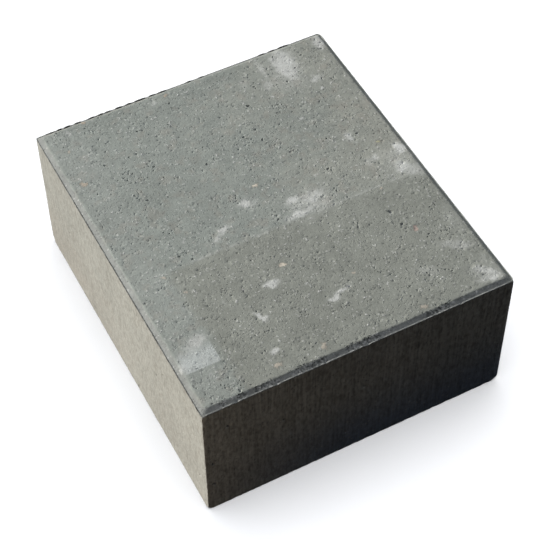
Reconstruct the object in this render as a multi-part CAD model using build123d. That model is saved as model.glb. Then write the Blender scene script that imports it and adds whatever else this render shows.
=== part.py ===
"""Solid concrete step: one block pressed in a steel mould, with a bevelled tread.

Frame: the origin is the middle of the underside. +X runs along the front edge to the right,
+Y runs from the front face to the back face, and +Z is up. Lengths are in millimetres.
"""

import os

from build123d import *

# The block
WIDTH = 300.0  # along the front edge
DEPTH = 350.0  # from the front face to the back face
HEIGHT = 150.0  # from the underside to the tread
CORNER_RADIUS = 1.0  # upright edges, from the mould's corners

# The pressed edge round the tread
BEVEL_WIDTH = 4.5  # in plan, from the fin to the flat of the tread
BEVEL_FALL = 3.0  # from the tread down to the foot of the bevel
FIN_WIDTH = 1.0  # thin fin that rises between the press head and the mould wall
FIN_RISE = 0.8  # from the foot of the bevel to the crest of the fin

# Levels above the underside
BEVEL_FOOT = HEIGHT - BEVEL_FALL
FIN_CREST = BEVEL_FOOT + FIN_RISE


def mould_outline():
    """Plan of the mould: the outer outline of the block."""
    return RectangleRounded(WIDTH, DEPTH, CORNER_RADIUS)


def press_head_outline():
    """Plan of the press head, which clears the mould wall by the width of the fin."""
    return Rectangle(WIDTH - 2 * FIN_WIDTH, DEPTH - 2 * FIN_WIDTH)


def walled_body():
    """Body as wide as the mould, dished to the foot of the bevel so that the fin stands round it."""
    body = extrude(mould_outline(), FIN_CREST)
    dish = Pos(0, 0, BEVEL_FOOT) * extrude(press_head_outline(), FIN_RISE)
    return body - dish


def bevelled_crown():
    """Core under the press head, with its four top edges bevelled down to the dish."""
    core = extrude(press_head_outline(), HEIGHT)
    tread = core.faces().sort_by(Axis.Z)[-1]
    return chamfer(tread.edges(), BEVEL_WIDTH, BEVEL_FALL, reference=tread)


def concrete_step():
    """The whole block, kept inside the mould at its rounded corners."""
    mould = extrude(mould_outline(), HEIGHT)
    return (walled_body() + bevelled_crown()) & mould


os.makedirs("parts", exist_ok=True)
step = concrete_step()
export_step(step, "parts/concrete_step.step")
print("concrete_step volume in litres:", round(step.volume / 1e6, 3))
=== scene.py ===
"""Looks of a pressed concrete step: pitted tread, worn bevel and fin, drawn sides, in low sunlight.

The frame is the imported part's: the origin is the middle of the underside, +X runs along the front edge
to the right, +Y to the back and +Z up. Sizes of the block and its marks are in millimetres, and the
mesh is turned to metres when it is made. Lights, floor and camera are in metres.
"""

import math
from collections import namedtuple

import bmesh
import bpy
import numpy as np
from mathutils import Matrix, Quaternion, Vector, geometry, kdtree, noise


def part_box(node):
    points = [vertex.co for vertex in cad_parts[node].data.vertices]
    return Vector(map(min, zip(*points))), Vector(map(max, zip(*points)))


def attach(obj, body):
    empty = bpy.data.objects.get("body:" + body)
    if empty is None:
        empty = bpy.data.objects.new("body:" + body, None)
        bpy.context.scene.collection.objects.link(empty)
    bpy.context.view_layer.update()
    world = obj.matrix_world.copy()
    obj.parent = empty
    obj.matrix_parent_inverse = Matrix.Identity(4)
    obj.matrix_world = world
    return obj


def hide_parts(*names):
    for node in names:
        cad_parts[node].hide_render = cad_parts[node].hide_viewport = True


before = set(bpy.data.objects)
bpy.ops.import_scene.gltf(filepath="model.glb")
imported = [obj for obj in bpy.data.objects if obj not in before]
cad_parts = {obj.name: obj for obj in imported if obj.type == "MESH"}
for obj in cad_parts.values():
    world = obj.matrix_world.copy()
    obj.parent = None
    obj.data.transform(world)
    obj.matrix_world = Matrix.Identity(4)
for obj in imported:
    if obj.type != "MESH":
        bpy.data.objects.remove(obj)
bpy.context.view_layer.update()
MM = 0.001

# The block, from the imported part
_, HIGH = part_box("concrete_step")
HALF_WIDTH = HIGH.x / MM
HALF_DEPTH = HIGH.y / MM
HEIGHT = HIGH.z / MM
CORNER_RADIUS = 1.0

# Section of the pressed edge round the tread, as in the part's source
BEVEL_WIDTH = 4.5
BEVEL_FALL = 3.0
FIN_WIDTH = 1.0
FIN_RISE = 0.8
BEVEL_FOOT = HEIGHT - BEVEL_FALL
CREST = BEVEL_FOOT + FIN_RISE
TREAD_INSET = FIN_WIDTH + BEVEL_WIDTH

# What casting and wear made of that section
Sides = namedtuple("Sides", "front right back left")
# The press head stood a little off centre, so the fin and the bevel differ from side to side
FIN_WIDTHS = Sides(front=1.2, right=0.7, back=0.8, left=0.45)
TREAD_INSETS = Sides(front=5.6, right=4.2, back=4.6, left=5.5)  # from the mould wall to the tread
FIN_ROUNDING = 0.2
FIN_SLOPE = 0.1  # from the fin's inner edge to the foot of the bevel
FIN_ZONE = 1.5  # inset up to which the fin belongs to the front or the back
FOOT_INSET = FIN_WIDTH + FIN_SLOPE
EDGE_WEAR = 0.4  # rounding between bevel and tread
MITRE_WEAR = 1.2  # rounding where two bevels meet
RING_INSETS = (
    0.0,
    FIN_ROUNDING,
    FIN_WIDTH - FIN_SLOPE,
    FOOT_INSET,
    FIN_WIDTH + 0.35 * BEVEL_WIDTH,
    FIN_WIDTH + 0.7 * BEVEL_WIDTH,
    TREAD_INSET - 0.6,
    TREAD_INSET,
    TREAD_INSET + 0.9,
)

# Spacing of the mesh
EDGE_STEP = 2.2
SIDE_STEPS = (round(2 * HALF_DEPTH / EDGE_STEP), round(2 * HALF_WIDTH / EDGE_STEP))
ARC_STEPS = 4
TREAD_STEP = 2.8
WALL_STEP = 3.6
UNDERSIDE_STEP = 5.5

# How far spots and loose points stay from the border of a face
WALL_MARGIN = 4
TREAD_MARGIN = 6
UNDERSIDE_MARGIN = 6
ROW_CLEARANCE = 1.5

# Making of the mesh
SEED = 20
WELD = 0.002  # points nearer than this become one
SHARP_ANGLE = 38  # degrees

# A spot is a pit where its height is below zero, and otherwise a grain that stands out. The tone of a
# grain is above zero where it is paler than the cement round it, and below where it is darker.
Spot = namedtuple("Spot", "x y radius height tone", defaults=(0.0,))
Stone = namedtuple("Stone", "x y radius height colour")
Scuff = namedtuple("Scuff", "x y long wide turn strength")
WallSpot = namedtuple("WallSpot", "x y z radius height tone", defaults=(0.0,))

# Pits of the tread that are large enough to tell apart one by one
LARGE_PITS = (
    Spot(94, -59, 2.4, -1.8),
    Spot(96, -76, 2.0, -1.5),
    Spot(49, -15, 1.8, -1.3),
    Spot(64, -15, 1.6, -1.3),
    Spot(60, -61, 1.7, -1.2),
    Spot(62, -57, 1.2, -1.0),
    Spot(70, 12, 1.9, -1.4),
    Spot(72, 9, 1.4, -1.1),
    Spot(42, 117, 1.8, -1.8),
    Spot(-25, 69, 1.6, -1.3),
    Spot(34, 72, 1.7, -1.3),
    Spot(20, 83, 1.6, -1.2),
    Spot(-91, 55, 1.5, -1.3),
    Spot(-99, 65, 1.4, -1.2),
    Spot(-94, -17, 1.6, -1.3),
    Spot(-85, -25, 1.5, -1.3),
    Spot(2, -20, 1.6, -1.3),
    Spot(115, -4, 1.6, -0.7),
    Spot(66, 163, 1.6, -0.9),
    Spot(-142, -50, 1.5, -0.8),
    Spot(140, 152, 1.5, -1.0),
    Spot(-111, -167, 2.0, -1.4),
    Spot(-113, -164, 1.4, -1.0),
    Spot(-137, -168, 1.3, -1.0),
    Spot(90, 128, 1.5, -1.1),
    Spot(105, 141, 1.4, -1.1),
    Spot(93, 164, 1.4, -1.0),
    Spot(121, 116, 1.4, -1.0),
    Spot(115, 38, 1.6, -1.2),
    Spot(-22, 155, 1.4, -1.0),
    Spot(-64, 136, 1.4, -1.1),
    Spot(-48, 148, 1.2, -0.9),
    Spot(-108, 111, 1.4, -1.0),
    Spot(-69, 89, 1.5, -1.1),
    Spot(-100, 155, 1.3, -0.9),
    Spot(86, -126, 1.3, -1.0),
    Spot(92, -131, 1.2, -1.0),
    Spot(97, -136, 1.4, -1.1),
    Spot(103, -138, 1.3, -1.0),
    Spot(107, -142, 1.2, -0.9),
    Spot(129, -158, 1.3, -0.9),
)

# Stretches of the front bevel that are open-grained, where the mix didn't fill the press head's edge
OPEN_STRETCHES = ((-131, -127), (-116, -108), (-100, -79), (-63, -33), (-13, 18), (64, 86))
OPEN_PITS_PER_MM = 0.9

# The darker front part of the tread lies in front of one line and right of another. Lime bloom covers a
# rectangle in the front left corner.
BAND_FRONT_OF = -27.5
BAND_RIGHT_OF = -109.0
BLOOM_LEFT = -145.0
BLOOM_RIGHT = -111.0
BLOOM_FRONT = -133.0
BLOOM_BACK = -105.0

# Places along the back where the fin stands higher, and its face and foot are painted dark as painted shade
ShadedDash = namedtuple("ShadedDash", "x length strength")
SHADED_DASHES = (
    ShadedDash(-136, 10, 0.6),
    ShadedDash(-126.5, 6, 1.0),
    ShadedDash(-118.5, 8, 1.0),
    ShadedDash(-108, 7, 1.0),
    ShadedDash(-93.5, 7, 0.9),
    ShadedDash(-85, 6, 0.9),
    ShadedDash(-77, 6, 0.8),
    ShadedDash(-66, 8, 1.0),
    ShadedDash(-56, 7, 1.0),
    ShadedDash(-44, 12, 0.9),
    ShadedDash(-31, 6, 0.9),
    ShadedDash(-21, 9, 0.7),
    ShadedDash(7, 6, 0.7),
    ShadedDash(20, 5, 0.6),
    ShadedDash(86, 7, 0.7),
    ShadedDash(97, 8, 0.8),
    ShadedDash(109, 11, 1.0),
)
DASH_RISE = 0.9  # how much higher the fin is there, in fin heights

# Places along the front where the fin is broken off
FIN_NICKS = (-118, -81, -35, 5, 97)
NICK_LENGTH = 2.5

# Stone grains of other colours that show in the tread
TAN = (0.56, 0.50, 0.41)
ORANGE = (0.53, 0.44, 0.34)
RED = (0.48, 0.36, 0.31)
CREAM = (0.82, 0.73, 0.59)
PALE = (0.60, 0.61, 0.57)
YELLOW = (0.50, 0.48, 0.30)
COLOURED_STONES = (
    Stone(-134, 99, 3.2, 0.15, ORANGE),
    Stone(2, 25, 2.4, 0.15, CREAM),
    Stone(-116, -32, 1.7, 0.1, TAN),
    Stone(-106, -55, 1.6, 0.1, TAN),
    Stone(-19, -67, 3.4, -0.35, CREAM),
    Stone(-21, 166, 2.0, 0.1, ORANGE),
    Stone(-104, 170.5, 2.4, 0.3, ORANGE),
    Stone(104, -86, 3.3, -0.4, RED),
    Stone(31, -104, 1.5, 0.1, TAN),
    Stone(-72, -159, 2.9, 0.2, TAN),
    Stone(-29, -160, 2.9, 0.3, TAN),
    Stone(66, -164, 2.6, 0.2, TAN),
    Stone(-130, 142, 1.6, 0.1, TAN),
    Stone(127, 20, 1.6, 0.1, YELLOW),
    Stone(101, -31, 1.3, 0.1, TAN),
    Stone(115, 105, 2.0, 0.25, PALE),
    Stone(79, 79, 2.2, 0.1, PALE),
    Stone(68, 117, 1.5, 0.1, PALE),
)

# Chalky scuffs on the tread; turn is in degrees from the front edge
SCUFFS = (
    Scuff(98, 150, 44, 24, 85, 1.15),
    Scuff(95, 144, 66, 40, 80, 0.5),
    Scuff(75, 152, 36, 9, 88, 0.5),
    Scuff(70, 132, 16, 12, 70, 0.65),
    Scuff(52, 144, 20, 10, 70, 0.35),
    Scuff(115, 119, 18, 8, 10, 0.85),
    Scuff(142, 162, 24, 13, 80, 0.9),
    Scuff(-15, 10, 11, 10, 0, 1.35),
    Scuff(-14, 10, 21, 18, 0, 0.55),
    Scuff(-46, -8, 14, 8, 30, 1.0),
    Scuff(-56, -15, 13, 6, 40, 0.85),
    Scuff(23, -6, 15, 10, 15, 1.1),
    Scuff(41, -11, 30, 20, 20, 0.7),
    Scuff(23, -23, 32, 10, 5, 1.1),
    Scuff(34, -17, 54, 36, 10, 0.5),
    Scuff(106, 38, 14, 9, 85, 1.0),
    Scuff(111, 3, 20, 11, 20, 0.62),
    Scuff(140, 3, 18, 13, 70, 0.95),
    Scuff(134, -21, 32, 19, 125, 0.8),
    Scuff(131, -10, 52, 40, 60, 0.4),
    Scuff(-37, -81, 16, 9, 170, 1.15),
    Scuff(-32, -83, 14, 10, 0, 0.4),
    Scuff(-61, -108, 16, 4.5, 118, 1.15),
    Scuff(2, -121, 15, 6, 175, 1.0),
    Scuff(15, -116, 18, 5, 15, 0.95),
    Scuff(-122, -106, 24, 14, 20, 0.8),
    Scuff(-142, -126, 15, 7, 75, 1.0),
    Scuff(-68, -146, 9, 7, 20, 1.2),
    Scuff(-126, -143, 6, 5, 0, 0.8),
    Scuff(90, -132, 30, 12, 150, 0.42),
    Scuff(127, -119, 36, 12, 150, 0.65),
    Scuff(134, -156, 28, 10, 138, 0.95),
    Scuff(131, -163, 26, 9, 170, 0.85),
    Scuff(139, -143, 16, 7, 100, 0.45),
    Scuff(132, -157, 36, 22, 150, 0.48),
    Scuff(139, -92, 44, 14, 90, 0.35),
    Scuff(-137, -73, 5, 4, 0, 0.8),
    Scuff(-83, -82, 4, 4, 0, 0.8),
    Scuff(-83, -3, 6, 4, 20, 0.8),
    Scuff(-35, 162, 6, 6, 0, 0.7),
    Scuff(-122, 164, 8, 4, 100, 1.0),
    Scuff(-118, 118, 60, 44, 60, 0.2),
)

# Air holes and grains of the front face and the left end; the dark tone of the air holes is painted shade in
# them
WALL_SPOTS = (
    WallSpot(-142, -HALF_DEPTH, 71, 2.0, -1.3, -1.4),
    WallSpot(-142, -HALF_DEPTH, 39, 2.3, -1.5, -1.6),
    WallSpot(-126, -HALF_DEPTH, 119, 1.9, -1.2, -1.4),
    WallSpot(-75, -HALF_DEPTH, 91, 1.6, -0.9, -1.0),
    WallSpot(-14, -HALF_DEPTH, 27, 1.6, -0.9, -1.0),
    WallSpot(5, -HALF_DEPTH, 87, 1.7, -0.9, -1.0),
    WallSpot(-118, -HALF_DEPTH, 86, 1.2, 0.1, 1.6),
    WallSpot(-HALF_WIDTH, -161, 39, 1.6, -1.2, -1.0),
    WallSpot(-HALF_WIDTH, -30, 5, 1.8, -1.2, -1.0),
    WallSpot(-HALF_WIDTH, -96, 106, 1.3, -0.7, -0.6),
    WallSpot(-HALF_WIDTH, -80, 86, 1.3, -0.7, -0.6),
    WallSpot(-HALF_WIDTH, 114, 74, 1.4, -0.7, -0.6),
)

# Corners knocked off in handling: a corner, the outward direction of the break, and its depth
Knock = namedtuple("Knock", "x y z out depth")
KNOCKS = (
    Knock(HALF_WIDTH, -HALF_DEPTH, 0, (0.55, -0.5, -0.8), 3.4),
    Knock(-HALF_WIDTH, HALF_DEPTH, 0, (-0.8, 0.8, -0.8), 3.5),
    Knock(-HALF_WIDTH, -HALF_DEPTH, 0, (-0.7, -0.8, -0.9), 2.6),
    Knock(HALF_WIDTH, HALF_DEPTH, 0, (0.8, 0.9, -0.7), 3.0),
    Knock(-HALF_WIDTH, -HALF_DEPTH, CREST, (-0.42, -0.40, 0.82), 1.4),
    Knock(HALF_WIDTH, HALF_DEPTH, CREST, (0.87, 0.32, 0.37), 1.7),
    Knock(HALF_WIDTH, -HALF_DEPTH, CREST, (0.75, -0.50, 0.43), 1.3),
    Knock(-HALF_WIDTH, HALF_DEPTH, CREST, (-0.60, 0.60, 0.53), 0.8),
)
BREAK_ROUGHNESS = 0.35
BREAK_LUMP = 3.0


# Small helpers


def smooth_step(low, high, value):
    """Rises smoothly from 0 at low to 1 at high."""
    share = np.clip((value - low) / (high - low), 0, 1)
    return share * share * (3 - 2 * share)


def drift(points, size, seed):
    """Smooth random value of about -1 to 1 at each point, changing over about the given size."""
    start = Vector((11.3, 5.7, 2.9)) * seed
    return np.array([noise.noise(Vector(point) / size + start) for point in points])


def as_points(x, y, z=0.0):
    """Columns of coordinates as an array of 3-D points."""
    return np.stack(np.broadcast_arrays(x, y, z), axis=-1).astype(float)


# Outline of the block in plan

# The same places across the edge in the drawn section and, for each side, in the one that was made
PAST_EDGE = 10.0
ACROSS = 2 * HALF_DEPTH
DRAWN_INSETS = (0, FIN_WIDTH, TREAD_INSET, PAST_EDGE, ACROSS)
MADE_INSETS = Sides(*((0, fin, tread, PAST_EDGE, ACROSS) for fin, tread in zip(FIN_WIDTHS, TREAD_INSETS)))


def ring(inset):
    """Closed row of points round the block at an inset of the drawn section, from the front right corner."""
    radius = max(CORNER_RADIUS - inset, 0.0)
    front, right, back, left = (
        radius + np.interp(inset, DRAWN_INSETS, made) for made in MADE_INSETS
    )
    corners = (
        (HALF_WIDTH - right, front - HALF_DEPTH),
        (HALF_WIDTH - right, HALF_DEPTH - back),
        (left - HALF_WIDTH, HALF_DEPTH - back),
        (left - HALF_WIDTH, front - HALF_DEPTH),
    )
    quarter = np.linspace(-math.pi / 2, 0, ARC_STEPS + 1) if radius else np.zeros(1)
    arcs = []
    for number, corner in enumerate(corners):
        turns = quarter + number * math.pi / 2
        arcs.append(corner + radius * np.column_stack((np.cos(turns), np.sin(turns))))
    rows = []
    for number, arc in enumerate(arcs):
        following = arcs[(number + 1) % 4][0]
        rows += [arc, np.linspace(arc[-1], following, SIDE_STEPS[number % 2] + 1)[1:-1]]
    return np.vstack(rows)


def drawn_inset(points):
    """Inset of each point in the drawn section, with the mitres between the sides worn round."""
    x, y = points[:, 0], points[:, 1]
    away = Sides(front=HALF_DEPTH + y, right=HALF_WIDTH - x, back=HALF_DEPTH - y, left=HALF_WIDTH + x)
    insets = [np.interp(side, made, DRAWN_INSETS) for side, made in zip(away, MADE_INSETS)]
    return -MITRE_WEAR * np.log(np.exp(np.array(insets) / -MITRE_WEAR).sum(axis=0))


# Spots: pits and grains


def wobble(turn, seed):
    """Share of a spot's radius at each turn about its middle, so that no spot is round."""
    return 1 + 0.28 * np.sin(2 * turn + seed) + 0.15 * np.sin(3 * turn + 2.3 * seed)


LARGE_SPOT = 1.15  # spots with a larger radius than this get more rows of points
# Rows of points round a spot's middle: the share of its radius, and the number of points
PIT_ROWS = ((0.5, 4), (1.0, 7))
LARGE_PIT_ROWS = ((0.4, 5), (0.72, 8), (1.02, 9))
GRAIN_ROWS = ((0.7, 5), (1.0, 6))
LARGE_GRAIN_ROWS = ((0.55, 6), (0.9, 8), (1.08, 8))
CLEAR_SHARE = 1.45  # reach of a spot over the mesh round it, in radii
LIP_SHARE = 0.2  # breadth of a pit's raised lip, in radii
LIP_RISE = 0.08  # its rise, in depths
CROWD_SIZE = 12.0  # breadth of the places where spots are thick or thin
CROWD_CONTRAST = 2.0
LEAST_GAP = 0.15  # between two spots, in radii of the smaller one
GRAIN_EDGE = 0.85  # share of a grain's radius that has its tone


def spot_points(spot):
    """Mesh points of a spot: one in the middle, then rows at shares of its radius."""
    if spot.radius > LARGE_SPOT:
        rows = LARGE_PIT_ROWS if spot.height < 0 else LARGE_GRAIN_ROWS
    else:
        rows = PIT_ROWS if spot.height < 0 else GRAIN_ROWS
    points = [(spot.x, spot.y)]
    for number, (share, count) in enumerate(rows):
        turns = np.arange(count) * 2 * math.pi / count + 0.6 * number + spot.x
        reach = spot.radius * share * wobble(turns, spot.x + spot.y)
        points += list(zip(spot.x + reach * np.cos(turns), spot.y + reach * np.sin(turns)))
    return points


def sow(rng, count, low, high, radii, slopes, tones=(0, 0), seed=0, thickness=None):
    """Random spots over a rectangle, small ones the most common, thicker in some places than in others."""
    places = rng.uniform(low, high, (count, 2))
    crowd = CROWD_CONTRAST * drift(as_points(*places.T), CROWD_SIZE, seed) + rng.uniform(-1, 1, count)
    if thickness:
        crowd = crowd + thickness(places)
    radius = radii[0] + (radii[1] - radii[0]) * rng.beta(1.2, 3.5, count)
    height = radius * rng.uniform(*slopes, count)
    tone = rng.uniform(*tones, count)
    rows = np.column_stack((places, radius, height, tone))[crowd > 0.0]
    return [Spot(*row) for row in rows.tolist()]


def apart(spots, cell=9.0):
    """The spots in order of size, less those that run into a larger one, found by square cells."""
    held = {}
    kept = []
    for spot in sorted(spots, key=lambda one: -one.radius):
        column = int(spot.x // cell)
        row = int(spot.y // cell)
        others = [held.get((column + i, row + j), []) for i in (-1, 0, 1) for j in (-1, 0, 1)]
        gaps = [
            math.hypot(spot.x - other.x, spot.y - other.y) - spot.radius - other.radius
            for group in others
            for other in group
        ]
        if min(gaps, default=1.0) > LEAST_GAP * spot.radius:
            held.setdefault((column, row), []).append(spot)
            kept.append(spot)
    return kept


def tree_of(points):
    """Search tree over plane points."""
    tree = kdtree.KDTree(len(points))
    for number, point in enumerate(points):
        tree.insert((point[0], point[1], 0), number)
    tree.balance()
    return tree


def reached(tree, points, spot):
    """Numbers of the points near a spot, and each one's distance from its middle as a share of its edge."""
    found = [number for _, number, _ in tree.find_range((spot.x, spot.y, 0), CLEAR_SHARE * spot.radius)]
    away = points[found, :2] - (spot.x, spot.y)
    turn = np.arctan2(away[:, 1], away[:, 0])
    return found, np.hypot(away[:, 0], away[:, 1]) / (spot.radius * wobble(turn, spot.x + spot.y))


def spot_marks(points, spots):
    """Height that spots add at each point, how deep in a pit it lies, and the tone of its grain."""
    height, hollow, tone = np.zeros((3, len(points)))
    tree = tree_of(points)
    for spot in spots:
        found, share = reached(tree, points, spot)
        inside = np.clip(1 - share**2, 0, 1)
        if spot.height < 0:
            lip = np.exp(-(((share - 1) / LIP_SHARE) ** 2))
            height[found] += spot.height * (inside**2 - LIP_RISE * lip)
            hollow[found] += inside**2 * min(1.0, -spot.height)
        else:
            height[found] += spot.height * inside
        tone[found] += spot.tone * (share < GRAIN_EDGE)
    return height, hollow, tone


def grid(rng, low, high, step):
    """Loose grid of points over a rectangle, each moved a little so that no rows show."""
    columns = np.arange(low[0], high[0] + step, step)
    rows = np.arange(low[1], high[1] + step, step)
    x, y = np.meshgrid(columns, rows)
    x = x + (np.arange(len(rows)) % 2)[:, None] * step / 2
    points = np.column_stack((x.ravel(), y.ravel()))
    return points + rng.uniform(-0.3, 0.3, points.shape) * step


def cleared(points, spots):
    """Points that lie clear of every spot."""
    tree = tree_of(points)
    kept = np.ones(len(points), bool)
    for spot in spots:
        middle = (spot.x, spot.y, 0)
        kept[[number for _, number, _ in tree.find_range(middle, CLEAR_SHARE * spot.radius)]] = False
    return points[kept]


def triangles(points, loops=()):
    """Joins plane points into triangles, with closed loops of point numbers kept as edges.

    Returns the number of each point that was used, and the triangles as numbers in that list.
    """
    edges = [(loop[i - 1], loop[i]) for loop in loops for i in range(len(loop))]
    made = geometry.delaunay_2d_cdt([Vector(point) for point in points], edges, [], 0, 1e-5, True)
    return [sources[0] for sources in made[3]], [tuple(face) for face in made[2]]


# The three faces of the mesh: tread with its edge, walls, underside


def dash_shade_at(points):
    """How strongly the fin is raised and painted with shade at each point along the back."""
    total = np.zeros(len(points))
    for dash in SHADED_DASHES:
        away = np.abs(points[:, 0] - dash.x) / dash.length
        total = np.maximum(total, dash.strength * (1 - smooth_step(0.3, 0.6, away)))
    return total * (points[:, 1] > 0)


def crest_height(points):
    """Height of the fin's crest: nicked in front, uneven on the right, low on the left and at the back."""
    flat = as_points(points[:, 0], points[:, 1])
    broad = drift(flat, 17.0, 4)
    fine = drift(flat, 4.0, 3)
    nick = np.min([np.abs(points[:, 0] - place) for place in FIN_NICKS], axis=0)
    front = (1.35 + 0.25 * broad + 0.25 * fine) * smooth_step(0.1 * NICK_LENGTH, NICK_LENGTH, nick)
    back = 0.75 + 0.15 * broad + 0.15 * fine + DASH_RISE * dash_shade_at(points)
    left = 0.6 + 0.15 * broad + 0.15 * fine
    right = 1.3 + 0.5 * broad + 0.4 * fine
    at_front = points[:, 1] < FIN_ZONE - HALF_DEPTH
    at_back = points[:, 1] > HALF_DEPTH - FIN_ZONE
    at_left = points[:, 0] < 0
    rise = np.select((at_front, at_back, at_left), (front, back, left), right)
    return BEVEL_FOOT + FIN_RISE * np.clip(rise, 0.1, 2.0)


def edge_height(inset, crest):
    """Section of the pressed edge, from the fin over the bevel to the tread."""
    bevel = BEVEL_FOOT + (inset - FIN_WIDTH) * BEVEL_FALL / BEVEL_WIDTH
    share = np.clip(0.5 + 0.5 * (HEIGHT - bevel) / EDGE_WEAR, 0, 1)
    worn = HEIGHT + (bevel - HEIGHT) * share - EDGE_WEAR * share * (1 - share)
    fin_top = crest - np.clip(FIN_ROUNDING - inset, 0, None)
    inside = smooth_step(FIN_WIDTH - FIN_SLOPE, FOOT_INSET, inset)
    fin = fin_top * (1 - inside) + BEVEL_FOOT * inside
    return np.where(inset <= FOOT_INSET, fin, worn)


def scuff_at(points):
    """How strongly the tread is scuffed at each point."""
    total = np.zeros(len(points))
    flat = as_points(points[:, 0], points[:, 1])
    uneven = 3.0 * np.column_stack((drift(flat, 5.0, 22), drift(flat, 5.0, 23)))
    for scuff in SCUFFS:
        turn = math.radians(scuff.turn)
        away = points[:, :2] + uneven - (scuff.x, scuff.y)
        along = away @ (math.cos(turn), math.sin(turn)) / (scuff.long / 2)
        across = away @ (-math.sin(turn), math.cos(turn)) / (scuff.wide / 2)
        total = np.maximum(total, scuff.strength * (1 - smooth_step(0.2, 1.6, np.hypot(along, across))))
    return total


def open_at(points):
    """Share of open grain at each point along the front bevel."""
    total = np.zeros(len(points))
    for start, end in OPEN_STRETCHES:
        inside = smooth_step(start - 3, start + 1, points[:, 0]) * smooth_step(-3, 1, end - points[:, 0])
        total = np.maximum(total, inside)
    return total * (points[:, 1] < 0)


def open_pits(rng):
    """Pits of the open-grained stretches of the front bevel."""
    pits = []
    for start, end in OPEN_STRETCHES:
        for _ in range(round((end - start) * OPEN_PITS_PER_MM)):
            radius = rng.uniform(0.5, 1.2)
            inset = rng.uniform(0.45 * TREAD_INSET, 1.25 * TREAD_INSET)
            depth = rng.uniform(0.9, 1.4) * radius
            pits.append(Spot(rng.uniform(start, end), inset - HALF_DEPTH, radius, -depth))
    return pits


SMOOTH_PLACES = ((-65, 40), (-HALF_WIDTH, HALF_DEPTH))  # left of the middle, and the back left corner
SMOOTH_WITHIN = 15
SMOOTH_TO = 60


def pit_thickness(places):
    """Pits are thick along the front and right edges of the tread, and thin in its smooth places."""
    x, y = places.T
    front = 1 - smooth_step(-HALF_DEPTH, -0.5 * HALF_DEPTH, y)
    right = smooth_step(0.5 * HALF_WIDTH, HALF_WIDTH, x)
    away = np.min([np.hypot(x - middle[0], y - middle[1]) for middle in SMOOTH_PLACES], axis=0)
    smooth = 1 - smooth_step(SMOOTH_WITHIN, SMOOTH_TO, away)
    bloom = (x > BLOOM_LEFT) & (x < BLOOM_RIGHT) & (y > BLOOM_FRONT) & (y < BLOOM_BACK)
    filled = np.maximum(np.clip(scuff_at(places), 0, 1), bloom)
    return 0.65 * np.maximum(front, right) - 0.4 * smooth - 0.9 * filled - 0.1


# Crumbled places that show clearly, and how many more are tried at random
CRUMBLED_SEEN = (
    (113, -3), (60, -58), (98, -84), (-72, 95), (22, 75), (70, 11), (90, 68), (-95, 64), (-92, -15),
    (7, -130), (87, -132), (136, -40), (128, -100), (-110, -160), (120, 60), (30, 100), (60, 140),
)
CRUMBLED_TRIES = 140
CRUMBLED_REACH = 2.6
CRUMBLED_PIT_SHARE = 0.7  # the rest of the spots there are grains


def crumbled(rng, reach):
    """Groups of pits with grains between them, where the cement skin has crumbled away."""
    spots = []
    sown = sow(rng, CRUMBLED_TRIES, -reach, reach, (1, 1), (-1, -1), seed=21, thickness=pit_thickness)
    for middle in [(spot.x, spot.y) for spot in sown] + 2 * list(CRUMBLED_SEEN):
        for _ in range(rng.integers(4, 11)):
            x, y = rng.normal(middle, CRUMBLED_REACH)
            radius = rng.uniform(0.6, 1.25)
            pit = rng.random() < CRUMBLED_PIT_SHARE
            height = radius * (-rng.uniform(0.45, 0.85) if pit else rng.uniform(0.2, 0.45))
            spots.append(Spot(x, y, radius, height, 0.0 if pit else rng.uniform(0.2, 0.9)))
    return spots


SMOOTH_BEVEL = TREAD_INSETS.left + 1 - HALF_WIDTH  # the left bevel has no spots
PIT_TRIES = 4300
GRAIN_TRIES = 2200


def tread_spots(rng):
    """All pits and grains of the tread, none in another."""
    reach = np.array((HALF_WIDTH, HALF_DEPTH)) - FIN_WIDTH - 1
    spots = list(LARGE_PITS) + open_pits(rng) + crumbled(rng, reach - TREAD_MARGIN)
    spots += [Spot(stone.x, stone.y, stone.radius, stone.height) for stone in COLOURED_STONES]
    # The ranges of radii, of heights in radii and, for grains, of tones
    pits = (0.5, 1.7), (-0.64, -0.22)
    grains = (0.5, 1.5), (0.1, 0.4), (-0.5, 1.8)
    spots += sow(rng, PIT_TRIES, -reach, reach, *pits, seed=6, thickness=pit_thickness)
    spots += sow(rng, GRAIN_TRIES, -reach, reach, *grains, seed=24)
    return [spot for spot in apart(spots) if spot.x > SMOOTH_BEVEL]


STONE_EDGE = 0.95  # share of a stone's radius that is coloured


def plain_marks(hollow, tone):
    """Marks at each point of a face that has pits and grains but no scuffs, painted fin shade or stones."""
    zero = np.zeros(len(hollow))
    stone = np.zeros((len(hollow), 4))
    return {"hollow": hollow, "tone": tone, "scuff": zero, "stone": stone, "dash_shade": zero, "open_grain": zero}


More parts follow.
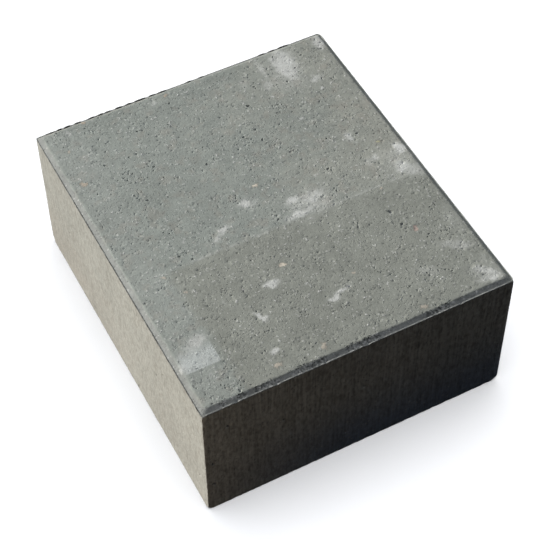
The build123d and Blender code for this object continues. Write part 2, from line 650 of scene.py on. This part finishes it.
def tread_face(rng):
    """Tread, bevel and fin as one face: points, triangles and what is marked at each point."""
    spots = tread_spots(rng)
    rows = [ring(inset) for inset in RING_INSETS]
    starts = np.cumsum([0] + [len(row) for row in rows])
    loops = [range(start, start + len(row)) for start, row in zip(starts, rows)]
    corner = np.array((HALF_WIDTH, HALF_DEPTH))
    base = grid(rng, -corner, corner, TREAD_STEP)
    base = cleared(base[drawn_inset(base) > RING_INSETS[-1] + 1], spots)
    fine = np.vstack([spot_points(spot) for spot in spots])
    fine = fine[drawn_inset(fine) > FOOT_INSET + 0.3]
    points = np.vstack(rows + [base, fine])
    used, faces = triangles(points.tolist(), loops)
    plan = points[used]
    flat = as_points(plan[:, 0], plan[:, 1])
    on_ring = np.concatenate([np.full(len(row), inset) for row, inset in zip(rows, RING_INSETS)])
    drawn = np.concatenate((on_ring, np.full(len(points) - len(on_ring), TREAD_INSET)))[used]
    inset = np.where(drawn <= FOOT_INSET, drawn, np.maximum(drawn_inset(plan), FOOT_INSET + 0.01))
    on_top = smooth_step(FOOT_INSET, FOOT_INSET + 1, inset)
    nibbled = 0.5 * drift(flat, 11.0, 12) + 0.35 * drift(flat, 3.5, 13)
    relief, hollow, tone = spot_marks(plan, spots)
    waves = 0.14 * drift(flat, 45.0, 1) + 0.07 * drift(flat, 9.0, 2) + 0.05 * drift(flat, 4.0, 14) - 0.15
    height = edge_height(inset + nibbled * on_top, crest_height(plan)) + (relief + waves) * on_top
    marks = plain_marks(hollow, tone)
    marks["scuff"] = scuff_at(plan)
    marks["dash_shade"] = dash_shade_at(plan) * (inset > 0) * (inset <= FOOT_INSET)
    marks["open_grain"] = open_at(plan)
    tree = tree_of(plan)
    for stone in COLOURED_STONES:
        found, share = reached(tree, plan, stone)
        marks["stone"][np.array(found)[share < STONE_EDGE]] = (*stone.colour, 1.0)
    return as_points(plan[:, 0], plan[:, 1], height), faces, marks


def wall_frame():
    """Points round the outline, their distance along it, and the outward direction at each."""
    row = ring(0.0)
    closed = np.vstack((row, row[:1]))
    along = np.concatenate(([0.0], np.cumsum(np.hypot(*np.diff(closed, axis=0).T))))
    core = np.array((HALF_WIDTH, HALF_DEPTH)) - CORNER_RADIUS
    outward = closed - np.clip(closed, -core, core)
    return closed, along, outward / np.linalg.norm(outward, axis=1)[:, None]


FOOT_WORN_HEIGHT = 1.4
WALL_PIT_TRIES = 420
WALL_GRAIN_TRIES = 260
UNDERSIDE_PIT_TRIES = 420


def foot_wear(points):
    """How far the lower edge of the block is rubbed back at each point round it."""
    flat = as_points(points[:, 0], points[:, 1])
    return 0.35 + 0.9 * np.clip(drift(flat, 7.0, 10), 0, None) + 0.25 * drift(flat, 2.5, 11)


def wall_face(rng):
    """The four upright faces, laid out flat as one strip and then wrapped round the block."""
    closed, along, outward = wall_frame()
    length = along[-1]
    spots = []
    for spot in WALL_SPOTS:
        nearest = np.argmin(np.hypot(*(closed - (spot.x, spot.y)).T))
        spots.append(Spot(along[nearest], spot.z, spot.radius, spot.height, spot.tone))
    low = np.array((WALL_MARGIN, WALL_MARGIN))
    high = np.array((length, CREST)) - WALL_MARGIN
    spots += sow(rng, WALL_PIT_TRIES, low, high, (0.5, 1.5), (-0.5, -0.2), seed=15)
    spots += sow(rng, WALL_GRAIN_TRIES, low, high, (0.5, 1.3), (0.03, 0.1), (-0.6, 0.5), seed=16)
    spots = apart(spots)
    levels = np.arange(0, CREST, WALL_STEP)[1:-1]
    arc_ends = np.flatnonzero(np.diff(along) < 0.5 * EDGE_STEP)
    upright = np.unique(np.concatenate(([0.0], along[arc_ends], along[arc_ends + 1], [length])))
    columns = [np.column_stack((np.full(len(levels), place), levels)) for place in upright]
    rows = [np.column_stack((along, np.full(len(along), level))) for level in (0, FOOT_WORN_HEIGHT, CREST)]
    base = grid(rng, (0, 0), (length, CREST), WALL_STEP)
    inside = np.abs(base[:, 0] - length / 2) < length / 2 - ROW_CLEARANCE
    above = base[:, 1] > FOOT_WORN_HEIGHT + ROW_CLEARANCE
    below = base[:, 1] < CREST - ROW_CLEARANCE
    base = cleared(base[inside & above & below], spots)
    fine = np.vstack([spot_points(spot) for spot in spots])
    points = np.vstack(columns + rows + [base, fine])
    used, faces = triangles(points.tolist())
    run, level = points[used].T
    relief, hollow, tone = spot_marks(points[used], spots)
    plan = np.column_stack([np.interp(run, along, closed[:, axis]) for axis in (0, 1)])
    normal = np.column_stack([np.interp(run, along, outward[:, axis]) for axis in (0, 1)])
    clear = smooth_step(FOOT_WORN_HEIGHT, WALL_MARGIN, level) * smooth_step(0, 2.5, CREST - level)
    seam = smooth_step(0, 6.0, np.minimum(run, length - run))
    drag = drift(as_points(plan[:, 0], plan[:, 1], level * 0.05), 2.6, 7)
    swell = drift(as_points(plan[:, 0], plan[:, 1], level), 38.0, 17)
    out = (relief + (0.04 * drag + 0.12 * swell) * seam - 0.12) * clear
    out = out - foot_wear(plan) * (1 - smooth_step(0, FOOT_WORN_HEIGHT, level))
    crest = crest_height(plan)
    level = level + (crest - FIN_ROUNDING - CREST) * smooth_step(CREST - WALL_MARGIN, CREST, level)
    plan = plan + normal * out[:, None]
    return as_points(plan[:, 0], plan[:, 1], level), faces, plain_marks(hollow * clear, tone)


def underside_face(rng):
    """The bed face, open-grained from the board that it was pressed on."""
    closed, _, outward = wall_frame()
    outline = closed[:-1]
    reach = np.array((HALF_WIDTH, HALF_DEPTH)) - UNDERSIDE_MARGIN
    spots = apart(sow(rng, UNDERSIDE_PIT_TRIES, -reach, reach, (0.8, 2.4), (-0.55, -0.25), seed=18))
    base = grid(rng, -reach, reach, UNDERSIDE_STEP)
    base = cleared(base[drawn_inset(base) > 4], spots)
    fine = np.vstack([spot_points(spot) for spot in spots])
    points = np.vstack((outline, base, fine))
    used, faces = triangles(points.tolist())
    worn = np.zeros_like(points)
    worn[:len(outline)] = outward[:-1] * foot_wear(outline)[:, None]
    plan = (points - worn)[used]
    relief, hollow, tone = spot_marks(plan, spots)
    return as_points(plan[:, 0], plan[:, 1], -relief), faces, plain_marks(hollow, tone)


def knock_off(points):
    """Pushes what stands outside each broken corner back to its rough face."""
    for knock in KNOCKS:
        out = np.array(knock.out) / np.linalg.norm(knock.out)
        reach = (points - (knock.x, knock.y, knock.z)) @ out + knock.depth
        broken = np.flatnonzero(reach > -1)
        rough = BREAK_ROUGHNESS * drift(points[broken], BREAK_LUMP, 8)
        points[broken] -= np.outer(np.clip(reach[broken] + rough, 0, None), out)
    return points


def block_mesh():
    """The whole block as one closed mesh, in metres."""
    rng = np.random.default_rng(SEED)
    points = np.zeros((0, 3))
    faces = []
    marks = {}
    for face_points, face_triangles, face_marks in (tread_face(rng), wall_face(rng), underside_face(rng)):
        faces += [tuple(corner + len(points) for corner in face) for face in face_triangles]
        points = np.vstack((points, face_points))
        for name, values in face_marks.items():
            marks.setdefault(name, []).append(values)
    mesh = bpy.data.meshes.new("step_block")
    mesh.from_pydata((knock_off(points) * MM).tolist(), [], faces)
    for name, parts in marks.items():
        values = np.concatenate(parts)
        kind, field = ("FLOAT_COLOR", "color") if values.ndim == 2 else ("FLOAT", "value")
        layer = mesh.attributes.new(name, kind, "POINT")
        layer.data.foreach_set(field, values.astype(np.float32).ravel())
    work = bmesh.new()
    work.from_mesh(mesh)
    bmesh.ops.remove_doubles(work, verts=work.verts, dist=WELD * MM)
    bmesh.ops.recalc_face_normals(work, faces=work.faces)
    work.to_mesh(mesh)
    open_edges = sum(1 for edge in work.edges if len(edge.link_faces) != 2)
    print("step_block:", len(work.faces), "triangles,", open_edges, "open edges")
    work.free()
    mesh.shade_smooth()
    mesh.set_sharp_from_angle(angle=math.radians(SHARP_ANGLE))
    return mesh


# Materials


class Shade:
    """A value in a material. Sums and products of such values add Math nodes to its tree."""

    def __init__(self, tree, socket=None):
        self.tree = tree
        self.socket = socket

    def node(self, kind, settings=None, sockets=None, output=0):
        """Adds a node: its settings first, then the values or links of its sockets."""
        made = self.tree.nodes.new("ShaderNode" + kind)
        for name, value in (settings or {}).items():
            setattr(made, name, value)
        for name, value in (sockets or {}).items():
            if isinstance(value, Shade):
                self.tree.links.new(value.socket, made.inputs[name])
            else:
                made.inputs[name].default_value = value
        return Shade(self.tree, made.outputs[output])

    def mark(self, name, output="Fac"):
        """What the mesh is marked with at each point, under this name."""
        return self.node("Attribute", {"attribute_name": name}, output=output)

    def math(self, operation, first, second):
        return self.node("Math", {"operation": operation}, {0: first, 1: second})

    def __add__(self, other):
        return self.math("ADD", self, other)

    def __sub__(self, other):
        return self.math("SUBTRACT", self, other)

    def __rsub__(self, other):
        return self.math("SUBTRACT", other, self)

    def __mul__(self, other):
        return self.math("MULTIPLY", self, other)

    def __abs__(self):
        return self.math("ABSOLUTE", self, 0.0)

    __radd__ = __add__
    __rmul__ = __mul__

    def between(self, low, high):
        """Rises smoothly from 0 at low to 1 at high."""
        return self.node(
            "MapRange",
            {"interpolation_type": "SMOOTHSTEP"},
            {"Value": self, "From Min": low, "From Max": high},
        )

    def lumps(self, size, detail=2.0, stretch=(1, 1, 1)):
        """Noise of 0 to 1 over this place, with lumps of about the given size."""
        at = self.node("VectorMath", {"operation": "MULTIPLY"}, {0: self, 1: stretch})
        return self.node("TexNoise", {}, {"Vector": at, "Scale": 1 / size, "Detail": detail}, "Fac")

    def flecks(self, size):
        """Cells over this place: the distance from each one's middle, and a random number for it."""
        away = self.node("TexVoronoi", {}, {"Vector": self, "Scale": 1 / size}, "Distance")
        colour = Shade(self.tree, away.socket.node.outputs["Color"])
        return away, self.node("SeparateColor", {}, {0: colour}, "Red")

    def blend(self, under, over):
        """Colour between two others, by this share."""
        return self.node("Mix", {"data_type": "RGBA"}, {0: self, 6: under, 7: over}, 2)

    def scaled(self, amount):
        """This colour or place, times an amount."""
        return self.node("VectorMath", {"operation": "SCALE"}, {0: self, "Scale": amount})


COOL_GREY = (0.334, 0.359, 0.321, 1)
WARM_GREY = (0.342, 0.350, 0.303, 1)
BAND_GREY = (0.313, 0.324, 0.281, 1)
BEIGE = (0.521, 0.519, 0.464, 1)
DARK_STREAK = (0.415, 0.402, 0.354, 1)
STAIN = (0.440, 0.395, 0.340, 1)
BROWN = (0.360, 0.322, 0.270, 1)
RUST = (0.480, 0.390, 0.300, 1)
# Chalky scuffs and pale lines, and painted light on the shaded right and back fins
CHALK_AND_PAINTED_LIGHT = (0.625, 0.632, 0.588, 1)
BLOOM = (0.600, 0.632, 0.600, 1)
WORN_EDGE = (0.314, 0.321, 0.301, 1)
# Painted shade: the dark line along the left fin's foot and the dark dashes on the back fin
PAINTED_FIN_SHADE = (0.060, 0.058, 0.048, 1)
BLUE_LOW_SHADE = (0.165, 0.225, 0.330, 1)
PIT_SHADE = (0.150, 0.155, 0.145, 1)
PALE_GRAIN = (0.640, 0.640, 0.600, 1)
DARK_GRAIN_AND_HOLE_SHADE = (0.190, 0.195, 0.185, 1)

# Stretches over which a tone or a mark comes or goes
WARM_COMES = (-60, 200)  # warmer grey of the tread, towards the right
LINE_COMES = (-115, -80)  # pale line along the band's border, towards the right
RUST_GOES = (-70, 0)  # rust at the back edge, towards the right
STAIN_GOES = (5, 110)  # stain of the sides, upwards
STAIN_COMES = (-60, 140)  # and towards the back
LOW_SHADE_GOES = (10, 120)  # painted bluish shade of the front face, upwards
LOW_SHADE_COMES = (-170, 0)  # and towards the right
RIM_FADES = (60, 170)  # dark rim of the left end, towards the back


def pressed_concrete():
    """Cement skin with sand and stone grains, a darker band, lime bloom, chalky scuffs and drawn sides."""
    material = bpy.data.materials.new("pressed_concrete")
    material.use_nodes = True
    tree = material.node_tree
    start = Shade(tree)
    place = start.node("TexCoord", output="Object").scaled(1 / MM)
    x, y, z = (place.node("SeparateXYZ", {}, {0: place}, axis) for axis in "XYZ")
    hollow, scuff, tone, dash_shade, opened = (
        start.mark(name) for name in ("hollow", "scuff", "tone", "dash_shade", "open_grain")
    )
    stone = start.mark("stone", "Color")
    in_stone = start.mark("stone", "Alpha")

    # Unevenness at several sizes, and flecks of sand
    broad = place.lumps(60.0)
    patchy = place.lumps(14.0, 3.0)
    mottle = place.lumps(4.0, 3.0)
    coarse = place.lumps(2.2, 3.0)
    sand = place.lumps(1.3)
    from_grain, grain = place.flecks(1.5)
    away, chance = place.flecks(2.8)
    pale_fleck = (chance - 0.55 - away).between(0.0, 0.10)
    dark_fleck = (0.45 - chance - away).between(0.0, 0.10)

    # Tread: greys, darker band with its pale line, worn edge, open grain and scuffs
    warmth = x + (broad - 0.5) * 300 + (patchy - 0.5) * 150
    tread = warmth.between(*WARM_COMES).blend(COOL_GREY, WARM_GREY)
    tread = (place.lumps(11.0, 3.0).between(0.52, 0.68) * 0.25).blend(tread, BROWN)
    rusty = y.between(HALF_DEPTH - 6, HALF_DEPTH - 2) * (1 - x.between(*RUST_GOES)) * patchy
    tread = (rusty * 0.6).blend(tread, RUST)
    behind = (y + broad * 8 - 4).between(BAND_FRONT_OF - 4, BAND_FRONT_OF + 4)
    band = (1 - behind) * (x + broad * 12 - 6).between(BAND_RIGHT_OF - 6, BAND_RIGHT_OF + 6)
    tread = band.blend(tread, BAND_GREY)
    tread = ((1 - x.between(BAND_RIGHT_OF - 10, BAND_RIGHT_OF + 4)) * 0.07).blend(tread, CHALK_AND_PAINTED_LIGHT)
    off_line = y - BAND_FRONT_OF + (patchy - 0.5) * 3
    on_line = (1 - abs(off_line).between(0.2, 2.2)) * x.between(*LINE_COMES)
    tread = (on_line * (patchy + mottle).between(0.7, 1.2) * 0.3).blend(tread, CHALK_AND_PAINTED_LIGHT)
    worn = 1 - (z + mottle - 0.5).between(HEIGHT - 0.9, HEIGHT - 0.5)
    # On the shaded right, less worn-edge grey on the bevel and a pale band on its foot and fin: painted
    # light
    tread = (worn * (0.8 - x.between(HALF_WIDTH - 9, HALF_WIDTH - 6) * 0.6)).blend(tread, WORN_EDGE)
    tread = (x.between(HALF_WIDTH - 2.4, HALF_WIDTH - 1.2) * 0.4).blend(tread, CHALK_AND_PAINTED_LIGHT)
    front_bevel = 1 - (y + HALF_DEPTH).between(TREAD_INSET - 0.5, TREAD_INSET + 2)
    open_grain = front_bevel * (0.2 + opened * 0.8)
    tread = (open_grain * coarse.between(0.51, 0.58) * 0.95).blend(tread, PIT_SHADE)
    tread = (open_grain * (1 - coarse.between(0.38, 0.45)) * 0.7).blend(tread, PALE_GRAIN)
    dusty = scuff.between(0.0, 0.9) * (0.15 + patchy * 0.6)
    chalky = scuff * 1.2 + (patchy - 0.5) * 0.6 + (mottle - 0.5) * 0.8 + (sand - 0.5) * 0.5
    chalky = chalky.between(0.35, 1.35) * scuff.between(0.0, 0.15)
    tread = (dusty + chalky * 0.6).blend(tread, CHALK_AND_PAINTED_LIGHT)

    # Sides: streaks drawn by the mould, stains, and painted bluish shade low on the shaded front
    long_streak = place.lumps(2.4, 4.0, (1, 1, 0.05))
    short_streak = place.lumps(2.6, 3.0, (1, 1, 0.4))
    drawn = long_streak.between(0.35, 0.7) * 0.3 + short_streak.between(0.4, 0.65) * 0.9 - 0.2
    side = (drawn + (patchy - 0.5) * 1.1).blend(BEIGE, DARK_STREAK)
    stained = (1 - z.between(*STAIN_GOES)) * (0.35 + y.between(*STAIN_COMES) * 0.65) * (0.4 + patchy)
    side = (stained * 0.45).blend(side, STAIN)
    shaded_side = 1 - (y + HALF_DEPTH).between(0.5, 1.5)
    # Bluish darkening low on the front face, which lies in shade: painted shade
    low_shade = shaded_side * (1 - (z + patchy * 30).between(*LOW_SHADE_GOES)) * x.between(*LOW_SHADE_COMES)
    side = (low_shade * 0.85).blend(side, BLUE_LOW_SHADE)

    # Both together, with the marks that lie on top
    on_tread = z.between(BEVEL_FOOT - 0.6, BEVEL_FOOT + 0.2)
    face = on_tread.blend(side, tread)
    # Thin dark line along the left fin's foot, where the fin's shadow falls: painted shade
    off_rim = x + HALF_WIDTH + (mottle - 0.5) * 0.8
    rim = (1 - off_rim.between(0.6, 1.0)) * (z + mottle).between(BEVEL_FOOT - 2.0, BEVEL_FOOT + 0.1)
    rim = rim * (0.25 + mottle.between(0.4, 0.6) * 0.5 - y.between(*RIM_FADES) * 0.25)
    face = rim.blend(face, PAINTED_FIN_SHADE)
    # The back fin's shaded face is made pale between the dashes: painted light
    back_fin = y.between(HALF_DEPTH - 1.8, HALF_DEPTH - 1.4) * on_tread
    face = (back_fin * 0.9).blend(face, CHALK_AND_PAINTED_LIGHT)
    # Dark dashes on the back fin's face and foot, where it stands higher: painted shade
    face = (dash_shade * back_fin * 0.85).blend(face, PAINTED_FIN_SHADE)
    face = (pale_fleck * 0.45).blend(face, PALE_GRAIN)
    face = (dark_fleck * (0.15 + on_tread * 0.25 + shaded_side * 0.25)).blend(face, DARK_GRAIN_AND_HOLE_SHADE)
    face = (tone * 0.65).blend(face, PALE_GRAIN)
    # Dark grains, and painted shade in the walls' air holes
    face = (tone * -0.6).blend(face, DARK_GRAIN_AND_HOLE_SHADE)
    face = (in_stone * 0.75).blend(face, stone)
    face = (hollow * 0.08).blend(face, PIT_SHADE)
    from_left = x.between(BLOOM_LEFT - 2, BLOOM_LEFT + 6)
    to_right = 1 - x.between(BLOOM_RIGHT - 0.8, BLOOM_RIGHT + 0.6)
    from_front = y.between(BLOOM_FRONT - 0.6, BLOOM_FRONT + 1.2)
    to_back = 1 - (y + patchy * 14).between(BLOOM_BACK - 7, BLOOM_BACK + 7)
    bloom = from_left * to_right * from_front * to_back * z.between(BEVEL_FOOT, HEIGHT)
    face = (bloom * (0.45 + patchy * 0.4 + mottle * 0.25)).blend(face, BLOOM)
    shade = 0.40 + broad * 0.28 + patchy * 0.36 + mottle * 0.22 + sand * 0.18 + grain * 0.12
    shade = shade * (0.95 + y.between(-HALF_DEPTH, BAND_FRONT_OF) * 0.05)
    uneven = (0.5 - patchy) * 0.5 + (0.5 - long_streak) * 0.8 + (0.5 - short_streak) * 0.5
    shade = shade * (1 + (1 - on_tread) * (0.08 + shaded_side * 1.2) * uneven)

    # Relief that is finer than the mesh
    holes = coarse.between(0.58, 0.68)
    relief = 0.2 * mottle + 0.13 * coarse + 0.07 * sand + 0.03 * grain - 0.05 * from_grain
    relief = relief + 0.1 * pale_fleck - 0.17 * dark_fleck - 0.17 * holes
    dragged = place.lumps(4.2, 3.0, (1, 1, 0.6))
    relief = relief + (1 - on_tread) * (0.35 + shaded_side * 0.3) * dragged
    bump = start.node("Bump", {}, {"Strength": 1.0, "Distance": MM, "Height": relief})
    shader = tree.nodes["Principled BSDF"]
    tree.links.new(face.scaled(shade).socket, shader.inputs["Base Color"])
    tree.links.new((0.88 + chalky * 0.08).socket, shader.inputs["Roughness"])
    tree.links.new(bump.socket, shader.inputs["Normal"])
    shader.inputs["Specular IOR Level"].default_value = 0.25
    return material


# Stage: floor, lights and camera


def link(data, name):
    """A new object in the scene."""
    made = bpy.data.objects.new(name, data)
    bpy.context.scene.collection.objects.link(made)
    return made


def light_only(lamp, lit):
    """Lets a lamp light only the given object."""
    group = bpy.data.collections.new(lamp.name + "_lights")
    group.objects.link(lit)
    lamp.light_linking.receiver_collection = group


FLOOR_HALF = 30.0
FLOOR_GAP = 0.0001  # keeps the floor clear of the raised lips of the underside's pits
FLOOR_TONE = (0.90, 0.90, 0.90, 1)
FLOOR_LAMP_STRENGTH = 3.5
FLOOR_LAMP_SPREAD = 100.0  # degrees
SUN_FROM = Vector((-0.622, 0.699, 0.354))
SUN_STRENGTH = 4.44
SUN_TINT = (1.0, 0.975, 0.93)
SUN_SPREAD = 2.0  # degrees
SKY_OVERHEAD = (0.93, 0.96, 1.05, 1)
SKY_LOW = (0.68, 0.95, 1.45, 1)
SKY_STRENGTH = 1.50
SKY_FALL = 8.0  # how fast the sky dims from straight overhead to the horizon
SKY_LEAN = 3.0  # how much brighter the sky is on the sun's side
SKY_LEAST = 0.27  # share of the sky's light that is left opposite the sun
BOUNCE_FROM = Vector((-0.40, -0.30, 0.19))
BOUNCE_TO = Vector((0.15, -0.175, 0.15))
BOUNCE_WIDE = 0.08
BOUNCE_HIGH = 0.50
BOUNCE_POWER = 0.20
BOUNCE_TINT = (1.0, 0.816, 0.645)
FILL_FROM = Vector((1.20, -0.20, 0.075))
FILL_TO = Vector((0.15, -0.10, 0.075))
FILL_WIDE = 0.06
FILL_HIGH = 0.10
FILL_POWER = 2.6
FILL_TINT = (0.94, 0.97, 1.0)


def floor():
    """Plain pale floor, just under the block."""
    mesh = bpy.data.meshes.new("floor")
    corners = [(-1, -1), (1, -1), (1, 1), (-1, 1)]
    mesh.from_pydata([(x * FLOOR_HALF, y * FLOOR_HALF, -FLOOR_GAP) for x, y in corners], [], [(0, 1, 2, 3)])
    material = bpy.data.materials.new("pale_floor")
    material.use_nodes = True
    shader = material.node_tree.nodes["Principled BSDF"]
    shader.inputs["Base Color"].default_value = FLOOR_TONE
    shader.inputs["Roughness"].default_value = 1.0
    shader.inputs["Specular IOR Level"].default_value = 0.0
    mesh.materials.append(material)
    made = link(mesh, "floor")
    made.visible_diffuse = False
    made.visible_glossy = False
    return made


def floor_lamp(ground):
    """Broad light from above that keeps the floor pale without lighting the block."""
    lamp = bpy.data.lights.new("floor_lamp", "SUN")
    lamp.energy = FLOOR_LAMP_STRENGTH
    lamp.angle = math.radians(FLOOR_LAMP_SPREAD)
    light_only(link(lamp, "floor_lamp"), ground)


def sunlight(block):
    """Low sun from the back left."""
    lamp = bpy.data.lights.new("sun", "SUN")
    lamp.energy = SUN_STRENGTH
    lamp.color = SUN_TINT
    lamp.angle = math.radians(SUN_SPREAD)
    made = link(lamp, "sun")
    made.rotation_mode = "QUATERNION"
    made.rotation_quaternion = SUN_FROM.to_track_quat("Z", "Y")
    light_only(made, block)


def flat_lamp(block, name, place, aim, wide, high, power, tint):
    """A flat lamp that lights the block alone and doesn't show."""
    lamp = bpy.data.lights.new(name, "AREA")
    lamp.shape = "RECTANGLE"
    lamp.size = wide
    lamp.size_y = high
    lamp.energy = power
    lamp.color = tint
    made = link(lamp, name)
    made.location = place
    made.rotation_mode = "QUATERNION"
    made.rotation_quaternion = (place - aim).to_track_quat("Z", "Y")
    made.visible_camera = False
    light_only(made, block)


def sky():
    """Cool light from above, stronger on the sun's side; what the camera sees past the floor is pale."""
    world = bpy.data.worlds.new("sky")
    world.use_nodes = True
    bpy.context.scene.world = world
    tree = world.node_tree
    start = Shade(tree)
    direction = start.node("TexCoord", output="Generated")
    up = direction.node("SeparateXYZ", {}, {0: direction}, "Z")
    overhead = up.math("POWER", up.math("MAXIMUM", up, 0.0), SKY_FALL)
    to_sun = Vector((SUN_FROM.x, SUN_FROM.y, 0)).normalized()
    sunward = direction.node("VectorMath", {"operation": "DOT_PRODUCT"}, {0: direction, 1: to_sun}, "Value")
    lean = sunward.math("MAXIMUM", 1 + sunward * SKY_LEAN, SKY_LEAST)
    strength = overhead * lean * SKY_STRENGTH
    glow = up.between(0.5, 1.0).blend(SKY_LOW, SKY_OVERHEAD).scaled(strength)
    seen = start.node("LightPath", output="Is Camera Ray")
    tree.links.new(seen.blend(glow, FLOOR_TONE).socket, tree.nodes["Background"].inputs["Color"])


CAMERA_AIM = Vector((-0.0016, -0.0093, 0.0678))
CAMERA_DISTANCE = 1.4985
CAMERA_AZIMUTH = -27.10  # degrees, from straight ahead towards the left
CAMERA_ELEVATION = 51.57
CAMERA_ROLL = -0.71
PICTURE_SIZE = 540  # pixels
FOCAL_LENGTH = 1611.5  # pixels


def camera():
    """Camera that looks down at the block from its front left."""
    lens = bpy.data.cameras.new("camera")
    lens.lens = FOCAL_LENGTH / PICTURE_SIZE * lens.sensor_width
    made = link(lens, "camera")
    azimuth = math.radians(CAMERA_AZIMUTH)
    elevation = math.radians(CAMERA_ELEVATION)
    flat = math.cos(elevation)
    back = Vector((math.sin(azimuth) * flat, -math.cos(azimuth) * flat, math.sin(elevation)))
    made.location = CAMERA_AIM + back * CAMERA_DISTANCE
    made.rotation_mode = "QUATERNION"
    roll = Quaternion((0, 0, 1), math.radians(CAMERA_ROLL))
    made.rotation_quaternion = (-back).to_track_quat("-Z", "Y") @ roll
    bpy.context.scene.camera = made


block = link(block_mesh(), "step_block")
block.data.materials.append(pressed_concrete())
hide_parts("concrete_step")
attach(block, "root")

ground = floor()
floor_lamp(ground)
sunlight(block)
# Warm light thrown back at the front face's left side, and a fill for the right end
flat_lamp(block, "bounce", BOUNCE_FROM, BOUNCE_TO, BOUNCE_WIDE, BOUNCE_HIGH, BOUNCE_POWER, BOUNCE_TINT)
flat_lamp(block, "fill", FILL_FROM, FILL_TO, FILL_WIDE, FILL_HIGH, FILL_POWER, FILL_TINT)
sky()
camera()
bpy.context.scene.view_settings.view_transform = "Standard"
